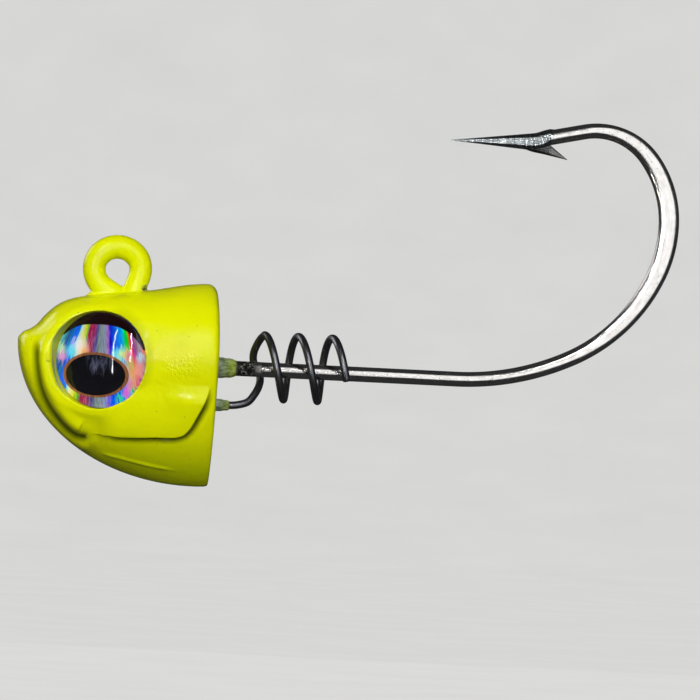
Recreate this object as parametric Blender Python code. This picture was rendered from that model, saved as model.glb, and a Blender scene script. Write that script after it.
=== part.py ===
"""Fish-head jig: a coated lead head cast round a forged hook, with a screw-in bait keeper and stick-on eyes.

Row frame, in metres: origin at the centre of the line-tie eyelet, +X along the shank towards the bend,
+Z up on the eyelet's side, the fish's left flank on -Y. The hook lies in the plane Y = 0.
"""

import math

import bmesh
import bpy
from mathutils import Matrix, Vector

MM = 0.001
GAP = 0.04 * MM  # between a cast or coated piece and what it holds

# Hook: one wire, bent like on a wire bender. Each bend is (radius, degrees turned), anticlockwise from -Y.
WIRE_RADIUS = 0.78 * MM
EYELET_RADIUS = 2.42 * MM  # of the wire's centreline
EYELET_TAIL = 1.6 * MM  # straight run from the wire's cut end to the eyelet
TAIL_HEADING = 149.0
NECK_HEADING = 251.4
NECK_STRAIGHT = 1.9 * MM
NECK_BEND_RADIUS = 5.0 * MM
HEEL_RADIUS = 2.0 * MM  # where the neck turns into the shank, inside the lead
SHANK_Z = -9.77 * MM
SHANK_END_X = 35.95 * MM
HOOK_BENDS = (
    (27.0 * MM, 26.0),
    (17.8 * MM, 40.0),
    (13.6 * MM, 26.0),
    (11.0 * MM, 36.0),
    (6.95 * MM, 64.5),
)
LIMB = 3.5 * MM  # round wire between the last bend and the ground point
POINT_NECK = 1.1 * MM  # where the round wire swells into the point
POINT_BEND = (5.0 * MM, -9.5)  # the point turns slightly back out
POINT_LENGTH = 8.6 * MM
POINT_WIDEST = 0.90 * MM  # half size in the hook's plane, just ahead of the barb
POINT_ACROSS = 0.62 * MM
POINT_DROP = 0.2 * MM  # the point swells downwards only, so its middle lies this far below the wire's
POINT_TIP_RADIUS = 0.05 * MM
FORGED_IN_PLANE = 1.06 * MM  # half sizes where the bend is hammered flat
FORGED_ACROSS = 0.60 * MM
WIRE_SIDES = 12
BARB = (  # the barb's outline as (x, z, half width): round its upper edge to the tip and back underneath
    (43.0, 15.45, 0.34),
    (44.5, 15.08, 0.3),
    (45.37, 14.44, 0.2),
    (46.41, 13.63, 0.05),
    (44.0, 14.06, 0.2),
    (42.2, 14.42, 0.3),
    (41.7, 14.9, 0.34),
)

# Head: stations along X, each an egg-shaped section.
NOSE_X = -9.9 * MM
NOSE_Z = -7.6 * MM
REAR_X = 10.52 * MM
BACK_LINE = (  # the top of the head from nose to rear: lip, forehead, crown
    (-9.9, -7.6),
    (-9.45, -7.07),
    (-8.6, -6.62),
    (-7.95, -6.13),
    (-7.3, -5.32),
    (-6.5, -4.5),
    (-5.5, -3.78),
    (-4.3, -3.28),
    (-2.9, -2.98),
    (3.5, -2.12),
    (8.8, -1.2),
    (10.4, -1.15),
)
BELLY_CENTRE_X = 8.9 * MM  # the belly is a quarter of an ellipse below the nose
BELLY_LENGTH = 18.8 * MM
BELLY_DEPTH = 14.65 * MM
PLAN_CENTRE_X = 9.0 * MM  # seen from above, each flank is a superellipse
PLAN_LENGTH = 18.9 * MM
PLAN_HALF_WIDTH = 7.6 * MM
PLAN_POWER = 2.2
WIDEST_AT = (0.43, 0.35)  # level of the widest point, as a share of the height, at nose and rear
UPPER_POWER = (3.0, 1.8)  # section roundness above it: boxy at the eyes, rounder at the rear
LOWER_POWER = (2.0, 1.45)  # and below it: rounded at the cheeks, a keel at the rear
REAR_FILLETS = (1.0 * MM, 0.3 * MM)  # of the rear rim, at the top and at the bottom
HEAD_STATIONS = 22
HEAD_SIDES = 28

# Coat
COAT = 0.35 * MM
SLEEVE_RADIUS = 1.17 * MM  # over the eyelet
SLEEVE_END_Z = -4.6 * MM
COLLAR_LENGTH = 2.5 * MM  # stub on the shank behind the head
COLLAR_RADII = (1.15 * MM, 0.92 * MM)
TAIL_COLLAR_LENGTH = 1.9 * MM  # stub on the keeper's tail
TAIL_COLLAR_RADII = (0.72 * MM, 0.52 * MM)
ROOT = 1.5 * MM  # how far a stub reaches into the head

# Face: two scored lines on each flank, as (x, z)
LINE_RADIUS = 0.42 * MM
MOUTH_LINE = (
    (-8.3, -7.7),
    (-8.05, -9.9),
    (-7.4, -12.6),
    (-6.3, -14.7),
    (-5.1, -16.1),
    (-3.95, -17.15),
    (-2.4, -17.6),
)
GILL_LINE = ((-0.15, -17.35), (3.2, -17.3), (6.9, -17.05), (7.95, -16.25), (8.8, -14.6), (9.5, -13.0))

# Keeper
KEEPER_RADIUS = 0.40 * MM
COIL_RADIUS = 3.32 * MM
COIL_AXIS_Z = -9.47 * MM
COIL_PITCH = 3.55 * MM
COIL_START_X = 15.7 * MM  # where the first turn is at its top
COIL_TURNS = 2.3
COIL_LEAN = 0.5 * MM  # how far the bottoms of the turns lie behind the tops
TAIL_Z = -13.65 * MM
KEEPER_LEAD = (  # anchor hook in the lead, tail, then round the far side of the shank up to the coil
    (4.6, 0.0, -15.3),
    (4.7, 0.0, -14.3),
    (5.5, 0.0, -13.65),
    (8.0, 0.0, -13.65),
    (11.0, 0.0, -13.6),
    (13.2, 0.05, -13.55),
    (14.3, 0.35, -13.2),
    (15.0, 0.9, -12.4),
    (15.5, 1.65, -11.5),
    (15.65, 2.45, -10.6),
    (15.35, 3.1, -9.75),
    (14.95, 3.3, -8.95),
    (14.9, 3.05, -8.15),
    (15.1, 2.5, -7.35),
    (15.4, 1.6, -6.65),
)
CAST_STRETCHES = 5  # stretches of the lead that lie in the lead and in the stub
STRETCH_STEPS = 2
KEEPER_SIDES = 8
TURN_STEPS = 16

# Eyes
EYE_RADIUS = 4.94 * MM
EYE_PLACE = Vector((-1.28, 4.36, -9.55)) * MM  # centre of the foil; y is the distance from the hook's plane
EYE_TURN = 25.0  # degrees that each eye looks forward
FOIL_THICKNESS = 0.10 * MM
ADHESIVE_THICKNESS = 0.25 * MM
DOME_EDGE = 0.9 * MM
DOME_RISE = 1.15 * MM
LAYER_GAP = 0.02 * MM
SOCKET_CLEARANCE = 0.12 * MM
SOCKET_DEPTH = 0.45 * MM  # below the foil's centre plane
CUTTER_LENGTH = 12.0 * MM
EYE_SIDES = 32
DOME_STEPS = 4


def clear_scene():
    for obj in list(bpy.data.objects):
        bpy.data.objects.remove(obj)


def material(name, colour, roughness, metallic=0.0, transmission=0.0):
    made = bpy.data.materials.new(name)
    made.use_nodes = True
    shader = made.node_tree.nodes["Principled BSDF"]
    shader.inputs["Base Color"].default_value = (*colour, 1.0)
    shader.inputs["Roughness"].default_value = roughness
    shader.inputs["Metallic"].default_value = metallic
    shader.inputs["Transmission Weight"].default_value = transmission
    made.diffuse_color = (*colour, 1.0)
    return made


def object_from(name, shape, finish=None):
    """An object from a bmesh, with its faces turned outwards and its round parts shaded smooth."""
    bmesh.ops.recalc_face_normals(shape, faces=shape.faces)
    mesh = bpy.data.meshes.new(name)
    shape.to_mesh(mesh)
    shape.free()
    obj = bpy.data.objects.new(name, mesh)
    bpy.context.scene.collection.objects.link(obj)
    finish_object(obj, finish)
    return obj


def finish_object(obj, finish):
    obj.data.shade_smooth()
    obj.data.set_sharp_from_angle(angle=math.radians(35))
    obj.data.materials.clear()
    if finish:
        obj.data.materials.append(finish)


def boolean(target, operation, others):
    """Joins or cuts the target with each of the others in turn, which are used up."""
    for other in others:
        modifier = target.modifiers.new(operation.lower(), "BOOLEAN")
        modifier.operation = operation
        modifier.solver = "EXACT"
        modifier.use_self = operation == "UNION"
        modifier.object = other
        bpy.context.view_layer.update()
        graph = bpy.context.evaluated_depsgraph_get()
        made = bpy.data.meshes.new_from_object(target.evaluated_get(graph))
        target.modifiers.clear()
        target.data = made
        bpy.data.objects.remove(other)
    return target


def hermite(knots, at):
    """The value at `at` on a smooth curve through (place, value) knots, with three-point slopes."""
    last = len(knots) - 1
    i = max(0, min(last - 1, sum(1 for place, _ in knots[1:-1] if place <= at)))

    def slope(k):
        if k in (0, last):
            k = min(max(k, 1), last)
            return (knots[k][1] - knots[k - 1][1]) / (knots[k][0] - knots[k - 1][0])
        before = knots[k][0] - knots[k - 1][0]
        after = knots[k + 1][0] - knots[k][0]
        left = (knots[k][1] - knots[k - 1][1]) / before
        right = (knots[k + 1][1] - knots[k][1]) / after
        return (left * after + right * before) / (before + after)

    (start, low), (end, high) = knots[i], knots[i + 1]
    span = end - start
    t = min(max((at - start) / span, 0.0), 1.0)
    return (
        (1 + 2 * t) * (1 - t) ** 2 * low
        + t * (1 - t) ** 2 * span * slope(i)
        + t * t * (3 - 2 * t) * high
        + t * t * (t - 1) * span * slope(i + 1)
    )


def through(points, steps_each):
    """Points of a smooth curve through the given ones, steps_each of them for each stretch."""
    reach = [0.0]
    for before, after in zip(points, points[1:]):
        reach.append(reach[-1] + (after - before).length)
    places = [
        low + (high - low) * step / steps_each
        for low, high in zip(reach, reach[1:])
        for step in range(steps_each)
    ] + [reach[-1]]
    tracks = [[(place, point[axis]) for place, point in zip(reach, points)] for axis in range(3)]
    return [Vector([hermite(track, place) for track in tracks]) for place in places]


def sweep(path, halves, sides):
    """A closed bar along a path. Each point has its half sizes in the hook's plane and across it."""
    shape = bmesh.new()
    across = Vector((0, 1, 0))
    rings = []
    for i, point in enumerate(path):
        ahead = (path[min(i + 1, len(path) - 1)] - path[max(i - 1, 0)]).normalized()
        across = (across - ahead * across.dot(ahead)).normalized()
        within = across.cross(ahead)
        half_within, half_across = halves[i]
        ring = []
        for side in range(sides):
            angle = 2 * math.pi * (side + 0.5) / sides
            offset = within * (half_within * math.cos(angle)) + across * (half_across * math.sin(angle))
            ring.append(shape.verts.new(point + offset))
        rings.append(ring)
    for ring, after in zip(rings, rings[1:]):
        for side in range(sides):
            follow = (side + 1) % sides
            shape.faces.new((ring[side], ring[follow], after[follow], after[side]))
    shape.faces.new(rings[0])
    shape.faces.new(rings[-1][::-1])
    return shape


def round_bar(name, path, radius, sides, finish=None, extra=0.0):
    """A round bar along a path, larger all round and longer at both ends by `extra`."""
    start = path[0] - (path[1] - path[0]).normalized() * extra
    end = path[-1] + (path[-1] - path[-2]).normalized() * extra
    size = radius + extra
    return object_from(name, sweep([start] + path[1:-1] + [end], [(size, size)] * len(path), sides), finish)


def turned(profile, sides):
    """A closed body of revolution about local Z. Its profile is (radius, height) from axis to axis."""
    shape = bmesh.new()
    rings = []
    for radius, height in profile:
        if radius == 0:
            rings.append([shape.verts.new((0, 0, height))] * sides)
            continue
        turn = [2 * math.pi * side / sides for side in range(sides)]
        rings.append([shape.verts.new((radius * math.cos(a), radius * math.sin(a), height)) for a in turn])
    for ring, after in zip(rings, rings[1:]):
        for side in range(sides):
            follow = (side + 1) % sides
            corners = (ring[side], ring[follow], after[follow], after[side])
            shape.faces.new(list(dict.fromkeys(corners)))
    return shape


class Bender:
    """Lays out a wire in the plane Y = 0 as straight runs and arcs."""

    def __init__(self, x, z, heading):
        self.points = [Vector((x, 0, z))]
        self.heading = math.radians(heading)

    def straight(self, length, steps=1):
        ahead = Vector((math.cos(self.heading), 0, math.sin(self.heading)))
        start = self.points[-1]
        self.points += [start + ahead * (length * step / steps) for step in range(1, steps + 1)]

    def bend(self, radius, degrees, steps):
        turn = math.radians(degrees) / steps
        chord = 2 * radius * math.sin(abs(turn) / 2)
        for _ in range(steps):
            middle = self.heading + turn / 2
            ahead = Vector((math.cos(middle), 0, math.sin(middle)))
            self.points.append(self.points[-1] + ahead * chord)
            self.heading += turn


def eyelet_wire():
    """The wire from its cut end round the eyelet and down the neck to the heel, where the shank begins."""
    tangent = math.radians(TAIL_HEADING)
    touch_x = -EYELET_RADIUS * math.sin(tangent)
    touch_z = EYELET_RADIUS * math.cos(tangent)
    end_x = touch_x - EYELET_TAIL * math.cos(tangent)
    end_z = touch_z - EYELET_TAIL * math.sin(tangent)
    wire = Bender(end_x, end_z, TAIL_HEADING)
    wire.straight(EYELET_TAIL)
    wire.bend(EYELET_RADIUS, NECK_HEADING - 360 - TAIL_HEADING, 24)
    wire.straight(NECK_STRAIGHT)
    wire.bend(NECK_BEND_RADIUS, 270 - NECK_HEADING, 3)
    wire.straight(wire.points[-1].z - SHANK_Z - HEEL_RADIUS)
    wire.bend(HEEL_RADIUS, 90, 6)
    return wire


def hook_wire():
    """The whole hook's centreline, with the index where the ground point starts."""
    wire = eyelet_wire()
    wire.straight(SHANK_END_X - wire.points[-1].x, 3)
    first_bend = len(wire.points)
    for radius, degrees in HOOK_BENDS:
        wire.bend(radius, degrees, max(2, round(degrees / 6)))
    last_bend = len(wire.points)
    wire.straight(LIMB, 2)
    point_start = len(wire.points) - 1
    wire.straight(POINT_NECK)
    wire.bend(*POINT_BEND, 2)
    wire.straight(POINT_LENGTH, 5)
    return wire.points, first_bend, last_bend, point_start


def hook_halves(points, first_bend, last_bend, point_start):
    """Half sizes of round wire, hammered flat through the bend and ground to a point, which is lowered here."""
    halves = []
    for i in range(len(points)):
        share = (i - first_bend) / (last_bend - first_bend)
        flat = math.sin(math.pi * share) ** 2 if 0 < share < 1 else 0.0
        within = WIRE_RADIUS + flat * (FORGED_IN_PLANE - WIRE_RADIUS)
        beside = WIRE_RADIUS + flat * (FORGED_ACROSS - WIRE_RADIUS)
        if i > point_start:
            share = min((points[i] - points[-1]).length / POINT_LENGTH, 1.0)
            within = POINT_TIP_RADIUS + (POINT_WIDEST - POINT_TIP_RADIUS) * share
            beside = POINT_TIP_RADIUS + (POINT_ACROSS - POINT_TIP_RADIUS) * share
            points[i].z -= POINT_DROP * share
        halves.append((within, beside))
    return halves


def barb():
    """A blade split from the wire's underside, its tip pointing back towards the bend."""
    shape = bmesh.new()
    near = [shape.verts.new((x * MM, -width * MM, z * MM)) for x, z, width in BARB]
    far = [shape.verts.new((x * MM, width * MM, z * MM)) for x, z, width in BARB]
    for i in range(len(BARB)):
        follow = (i + 1) % len(BARB)
        shape.faces.new((near[i], far[i], far[follow], near[follow]))
    shape.faces.new(near)
    shape.faces.new(far[::-1])
    bmesh.ops.triangulate(shape, faces=shape.faces)
    return object_from("barb", shape)


def make_hook(finish):
    points, first_bend, last_bend, point_start = hook_wire()
    halves = hook_halves(points, first_bend, last_bend, point_start)
    hook = object_from("hook", sweep(points, halves, WIRE_SIDES))
    boolean(hook, "UNION", [barb()])
    finish_object(hook, finish)


def head_section(x):
    """Half width, top, bottom, widest level and the two powers of the head's section at x."""
    along = min(max((x - NOSE_X) / (REAR_X - NOSE_X), 0.0), 1.0)
    top = hermite(BACK_LINE, x / MM) * MM
    belly = min(abs(x - BELLY_CENTRE_X) / BELLY_LENGTH, 1.0)
    bottom = NOSE_Z - BELLY_DEPTH * math.sqrt(1 - belly**2)
    plan = min(abs(PLAN_CENTRE_X - x) / PLAN_LENGTH, 1.0)
    half_width = PLAN_HALF_WIDTH * (1 - plan**PLAN_POWER) ** (1 / PLAN_POWER)

    def blend(ends):
        return ends[0] + (ends[1] - ends[0]) * along

    widest = top - (top - bottom) * blend(WIDEST_AT)
    return half_width, top, bottom, widest, blend(UPPER_POWER), blend(LOWER_POWER)


def flank_y(x, z):
    """The head's half width at a place on its side."""
    half_width, top, bottom, widest, upper, lower = head_section(x)
    reach, power = (top - widest, upper) if z > widest else (widest - bottom, lower)
    share = min(abs(z - widest) / reach, 1.0)
    return half_width * (1 - share**power) ** (1 / power)


def head_ring(shape, x, inset, rim_turn=None):
    """One closed section of the head, inset for the layers under the coat, or part-way round the rear rim."""
    half_width, top, bottom, widest, upper, lower = head_section(x)
    ring = []
    for side in range(HEAD_SIDES):
        angle = 2 * math.pi * side / HEAD_SIDES
        c, s = math.cos(angle), math.sin(angle)
        shrink, back = 0.0, 0.0
        if rim_turn is not None:
            fillet = REAR_FILLETS[1] + (REAR_FILLETS[0] - REAR_FILLETS[1]) * (s + 1) / 2
            shrink, back = fillet * (1 - math.cos(rim_turn)), fillet * (1 - math.sin(rim_turn))
        power = upper if s >= 0 else lower
        reach = (top - widest if s >= 0 else widest - bottom) - inset - shrink
        wide = half_width - inset - shrink
        y = wide * math.copysign(abs(c) ** (2 / power), c)
        z = widest + reach * math.copysign(abs(s) ** (2 / power), s)
        ring.append(shape.verts.new((x - back, y, z)))
    return ring


def head_body(name, inset):
    """The head without eye sockets or face lines, its surface `inset` inside the coat's."""
    shape = bmesh.new()
    front, rear = NOSE_X + inset, REAR_X - inset
    first_ring = front + 0.12 * MM
    last_ring = rear - REAR_FILLETS[0] - 0.05 * MM
    rings = []
    for i in range(HEAD_STATIONS):
        swing = math.radians(88) * i / (HEAD_STATIONS - 1)
        share = (1 - math.cos(swing)) / (1 - math.cos(math.radians(88)))
        rings.append(head_ring(shape, first_ring + (last_ring - first_ring) * share, inset))
    for degrees in (10, 40, 65, 90):
        rings.append(head_ring(shape, rear, inset, math.radians(degrees)))
    nose = shape.verts.new((front, 0, NOSE_Z - 0.35 * MM))
    for side in range(HEAD_SIDES):
        follow = (side + 1) % HEAD_SIDES
        shape.faces.new((nose, rings[0][follow], rings[0][side]))
        for ring, after in zip(rings, rings[1:]):
            shape.faces.new((ring[side], ring[follow], after[follow], after[side]))
    shape.faces.new(rings[-1])
    return object_from(name, shape)


def eye_matrix(side):
    """Places an eye: local Z looks out of the head, side is -1 on the left flank and 1 on the right."""
    turn = math.radians(EYE_TURN)
    out = Vector((-math.sin(turn), side * math.cos(turn), 0))
    up = Vector((0, 0, 1))
    along = up.cross(out)
    place = Vector((EYE_PLACE.x, side * EYE_PLACE.y, EYE_PLACE.z))
    rotation = Matrix((along, up, out)).transposed().to_4x4()
    return Matrix.Translation(place) @ rotation


def socket_cutters(extra):
    """Plugs the shape of both eye sockets, larger all round by `extra`."""
    cutters = []
    for side in (-1, 1):
        radius = EYE_RADIUS + SOCKET_CLEARANCE + extra
        floor = -SOCKET_DEPTH - extra
        profile = ((0, floor), (radius, floor), (radius, CUTTER_LENGTH), (0, CUTTER_LENGTH))
        cutter = object_from("socket", turned(profile, EYE_SIDES))
        cutter.data.transform(eye_matrix(side))
        cutters.append(cutter)
    return cutters


def line_cutters(extra):
    """Bars along the mouth and gill lines of both flanks, thicker by `extra`."""
    cutters = []
    for line in (MOUTH_LINE, GILL_LINE):
        for side in (-1, 1):
            route = [Vector((x * MM, side * flank_y(x * MM, z * MM), z * MM)) for x, z in line]
            cutters.append(round_bar("line", through(route, 2), LINE_RADIUS, 6, extra=extra))
    return cutters


def carve_face(body, extra):
    boolean(body, "DIFFERENCE", line_cutters(extra) + socket_cutters(extra))
    return body


def collar(name, z, length, radii, sides):
    """A tapered stub of coat on a wire where it leaves the rear face."""
    path = [Vector((REAR_X - ROOT, 0, z)), Vector((REAR_X, 0, z)), Vector((REAR_X + length, 0, z))]
    halves = [(radii[0],) * 2, (radii[0],) * 2, (radii[1],) * 2]
    return object_from(name, sweep(path, halves, sides))


def wire_bars(extra):
    """The hook's and the keeper's cast-in lengths, thicker by `extra`, running out past the stubs."""
    wire = eyelet_wire()
    wire.straight(REAR_X + COLLAR_LENGTH + ROOT - wire.points[-1].x)
    tail = keeper_lead()[: CAST_STRETCHES * STRETCH_STEPS + 1]
    return [
        round_bar("wire", wire.points, WIRE_RADIUS, WIRE_SIDES, extra=extra),
        round_bar("tail", tail, KEEPER_RADIUS, KEEPER_SIDES, extra=extra),
    ]


def make_head_casting(finish):
    casting = carve_face(head_body("head_casting", COAT + GAP), COAT + GAP)
    boolean(casting, "DIFFERENCE", wire_bars(GAP))
    finish_object(casting, finish)


def make_paint_coat(finish):
    """A skin over the lead, the eyelet and the neck, with a stub on each wire behind the head."""
    coat = head_body("paint_coat", 0)
    wire = [point for point in eyelet_wire().points if point.z > SLEEVE_END_Z]
    sleeve = round_bar("sleeve", wire, WIRE_RADIUS, WIRE_SIDES, extra=SLEEVE_RADIUS - WIRE_RADIUS)
    shank_stub = collar("shank_stub", SHANK_Z, COLLAR_LENGTH, COLLAR_RADII, WIRE_SIDES)
    tail_stub = collar("tail_stub", TAIL_Z, TAIL_COLLAR_LENGTH, TAIL_COLLAR_RADII, KEEPER_SIDES)
    boolean(coat, "DIFFERENCE", line_cutters(0))
    boolean(coat, "UNION", [sleeve, shank_stub, tail_stub])
    boolean(coat, "DIFFERENCE", socket_cutters(0))
    hollow = carve_face(head_body("hollow", COAT), COAT)
    boolean(hollow, "UNION", wire_bars(GAP))
    boolean(coat, "DIFFERENCE", [hollow])
    finish_object(coat, finish)


def keeper_lead():
    """The keeper's wire from its anchor hook in the lead to the top of the first turn."""
    coil_start = Vector((COIL_START_X, 0, COIL_AXIS_Z + COIL_RADIUS))
    return through([Vector(point) * MM for point in KEEPER_LEAD] + [coil_start], STRETCH_STEPS)


def make_keeper(finish):
    """Spring wire: a hooked tail in the lead, a lead-in past the shank, then a right-handed coil."""
    coil = []
    for step in range(round(COIL_TURNS * TURN_STEPS) + 1):
        turns = step / TURN_STEPS
        angle = 2 * math.pi * turns
        y = -COIL_RADIUS * math.sin(angle)
        z = COIL_AXIS_Z + COIL_RADIUS * math.cos(angle)
        x = COIL_START_X + COIL_PITCH * turns + COIL_LEAN * (1 - math.cos(angle)) / 2
        coil.append(Vector((x, y, z)))
    path = keeper_lead()[:-1] + coil
    round_bar("keeper", path, KEEPER_RADIUS, KEEPER_SIDES, finish)


def make_eye(side, flank, adhesive, foil, resin):
    """A stick-on eye: adhesive pad, printed foil and clear dome, stacked along the socket's axis."""
    place = eye_matrix(side)
    pad_top = -LAYER_GAP
    pad = ((0, pad_top - ADHESIVE_THICKNESS), (EYE_RADIUS * 0.97, pad_top - ADHESIVE_THICKNESS))
    pad += ((EYE_RADIUS * 0.97, pad_top), (0, pad_top))
    disc = ((0, 0), (EYE_RADIUS, 0), (EYE_RADIUS, FOIL_THICKNESS), (0, FOIL_THICKNESS))
    base = FOIL_THICKNESS + LAYER_GAP
    dome = [(0, base), (EYE_RADIUS, base)]
    for step in range(DOME_STEPS):
        swing = math.radians(90) * step / DOME_STEPS
        dome.append((EYE_RADIUS * math.cos(swing), base + DOME_EDGE + DOME_RISE * math.sin(swing)))
    dome.append((0, base + DOME_EDGE + DOME_RISE))
    for name, profile, finish in (("adhesive", pad, adhesive), ("foil", disc, foil), ("dome", dome, resin)):
        layer = object_from(f"eye_{name}_{flank}", turned(profile, EYE_SIDES), finish)
        layer.matrix_world = place


def main():
    clear_scene()
    make_hook(material("black_nickel_steel", (0.30, 0.29, 0.28), 0.22, metallic=1.0))
    make_head_casting(material("lead", (0.33, 0.34, 0.36), 0.55, metallic=1.0))
    make_paint_coat(material("chartreuse_powder_coat", (0.70, 0.78, 0.0), 0.28))
    make_keeper(material("spring_steel", (0.16, 0.17, 0.19), 0.35, metallic=1.0))
    adhesive = material("adhesive_foam", (0.80, 0.80, 0.76), 0.8)
    foil = material("holographic_foil", (0.45, 0.50, 0.60), 0.25, metallic=0.6)
    resin = material("clear_epoxy", (0.95, 0.97, 1.0), 0.03, transmission=1.0)
    make_eye(-1, "left", adhesive, foil, resin)
    make_eye(1, "right", adhesive, foil, resin)


main()
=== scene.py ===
"""Looks of the fish-head jig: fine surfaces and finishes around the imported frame.

Meshes are worked out in millimetres, in the row frame: origin at the centre of the line-tie eyelet,
+X along the shank, +Z up, the fish's left flank on -Y. They are scaled to metres as they are made.
"""

import math

import bpy
import numpy as np
from mathutils import Matrix, Vector


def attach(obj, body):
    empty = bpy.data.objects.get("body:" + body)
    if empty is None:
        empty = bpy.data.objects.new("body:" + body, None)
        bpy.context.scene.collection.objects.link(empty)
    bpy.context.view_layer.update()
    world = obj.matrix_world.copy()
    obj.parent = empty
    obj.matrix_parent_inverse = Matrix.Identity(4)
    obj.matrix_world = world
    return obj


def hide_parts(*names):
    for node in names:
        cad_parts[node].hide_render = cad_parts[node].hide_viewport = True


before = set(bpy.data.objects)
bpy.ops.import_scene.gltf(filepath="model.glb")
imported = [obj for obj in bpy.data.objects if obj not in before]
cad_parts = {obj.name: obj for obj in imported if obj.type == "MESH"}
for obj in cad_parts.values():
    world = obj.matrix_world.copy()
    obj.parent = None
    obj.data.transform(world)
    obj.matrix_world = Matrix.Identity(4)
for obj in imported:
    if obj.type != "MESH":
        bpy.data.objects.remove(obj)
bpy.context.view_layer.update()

MM = 0.001

# ---------------- sizes (mm), those of the CAD source and of finer detail

WIRE_RADIUS = 0.78
EYELET_RADIUS = 2.42
EYELET_TAIL = 1.6
TAIL_HEADING = 149.0
NECK_HEADING = 251.4
NECK_STRAIGHT = 1.9
NECK_BEND_RADIUS = 5.0
HEEL_RADIUS = 2.0
SHANK_Z = -9.77
SHANK_END_X = 35.95
HOOK_BENDS = ((27.0, 26.0), (17.8, 40.0), (13.6, 26.0), (11.0, 36.0), (6.95, 64.5))
LIMB = 3.5
POINT_NECK = 1.1
POINT_BEND = (5.0, -9.5)
POINT_LENGTH = 8.6
POINT_WIDEST = 0.90
POINT_DROP = 0.20
POINT_ACROSS = 0.62
POINT_TIP = 0.03
GROUND_SECTION = ((1.0, 0.0), (0.52, 1.0), (-0.52, 1.0), (-1.0, 0.0), (-0.52, -1.0), (0.52, -1.0))
GRIND_START, GRIND_SLANT, GRIND_BLEND = 0.55, 0.75, 0.25
FORGED_IN_PLANE = 1.06
FORGED_ACROSS = 0.60
FORGED_SQUARENESS = 1.6
BARB_TOP = ((43.4, 15.45), (44.5, 15.08), (45.37, 14.44), (46.41, 13.66))
BARB_UNDERSIDE = ((41.5, 14.75), (42.2, 14.42), (44.0, 14.06), (46.41, 13.60))
BARB_HALF_WIDTH = (0.34, 0.05)

NOSE_X, NOSE_Z = -9.9, -7.6
REAR_X = 10.52
NOSE_DROP = 0.35
NOSE_RING, REAR_RING = 0.03, 0.05
STATION_SWING = math.radians(88)
BACK_LINE = (
    (-9.9, -7.6), (-9.45, -7.07), (-8.6, -6.62), (-7.95, -6.13), (-7.3, -5.32), (-6.5, -4.5),
    (-5.5, -3.78), (-4.3, -3.28), (-2.9, -2.98), (3.5, -2.12), (8.8, -1.2), (10.4, -1.15),
)
BELLY_CENTRE_X, BELLY_LENGTH, BELLY_DEPTH = 8.9, 18.8, 14.65
PLAN_CENTRE_X, PLAN_LENGTH, PLAN_HALF_WIDTH, PLAN_POWER = 9.0, 18.9, 7.6, 2.2
WIDEST_AT = (0.43, 0.35)
UPPER_POWER = (3.0, 1.8)
LOWER_POWER = (2.0, 1.45)
REAR_FILLET = (1.0, 0.3)
COAT = 0.35
GAP = 0.04
SLEEVE_RADIUS = 1.17
SLEEVE_END_Z = -4.6
SLEEVE_SAG = 0.14
SLEEVE_SHIFT, SLEEVE_SHIFT_Z = (0.06, -0.04), (-3.5, -2.0)
COAT_DROPS = (
    ((-1.65, 0.0, -3.15), (1.45, 0.95, 0.75)),
    ((0.35, 0.0, -3.0), (1.4, 0.85, 0.75)),
    ((2.1, 0.0, -2.6), (1.15, 0.9, 0.6)),
)
COLLAR_LENGTH, COLLAR_RADII = 2.5, (1.15, 0.92)
TAIL_COLLAR_LENGTH, TAIL_COLLAR_RADII = 1.9, (0.72, 0.52)
COLLAR_ROUND_FROM, COLLAR_END = 0.72, 0.75
ROOT = 1.5

KEEPER_RADIUS = 0.40
COIL_RADIUS = 3.32
COIL_AXIS_Z = -9.47
COIL_PITCH = 3.55
COIL_START_X = 15.7
COIL_TURNS = 2.3
COIL_LEAN = 0.5
TAIL_Z = -13.65
TAIL_BAR_END_X = 13.4
KEEPER_LEAD = (
    (4.6, 0.0, -15.3), (4.7, 0.0, -14.3), (5.5, 0.0, -13.65), (8.0, 0.0, -13.65), (11.0, 0.0, -13.6),
    (13.2, 0.05, -13.55), (14.3, 0.35, -13.2), (15.0, 0.9, -12.4), (15.5, 1.65, -11.5), (15.65, 2.45, -10.6),
    (15.35, 3.1, -9.75), (14.95, 3.3, -8.95), (14.9, 3.05, -8.15), (15.1, 2.5, -7.35), (15.4, 1.6, -6.65),
)

EYE_RADIUS = 4.94
EYE_PLACE = (-1.28, 4.36, -9.55)
EYE_TURN = 25.0
FOIL_THICKNESS = 0.10
LAYER_GAP = 0.02
# the dome is rounder than the CAD source's, and its socket snugger
DOME_EDGE, DOME_RISE = 0.5, 1.45
DOME_CHAMFER = 0.08
DOME_BASE_INSETS = (1.0, 0.4, 0.12, 0.1, DOME_CHAMFER)
SOCKET_CLEARANCE, SOCKET_DEPTH = 0.08, 0.45
SOCKET_LEDGE = ((0.0, 0.72), (0.06, 0.82), (0.10, 12.0))

# ---------------- fineness of the visual meshes (mm)

COAT_VOXEL = 0.12
WIRE_STEP = 0.22
WIRE_SIDES = 48
KEEPER_SIDES = 24
HEAD_STATIONS, HEAD_SIDES = 200, 280
EYE_SIDES = 128
FOIL_RINGS, DOME_RINGS = 25, 28
PLUG_SIDES = 160
COLLAR_SIDES = 40
BLOB_RINGS = 16
COIL_STEPS = 96
LEAD_STEP = 0.15
ROUTE_STEP = 0.2

# ---------------- face relief on each flank, as (x, z) in mm

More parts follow.
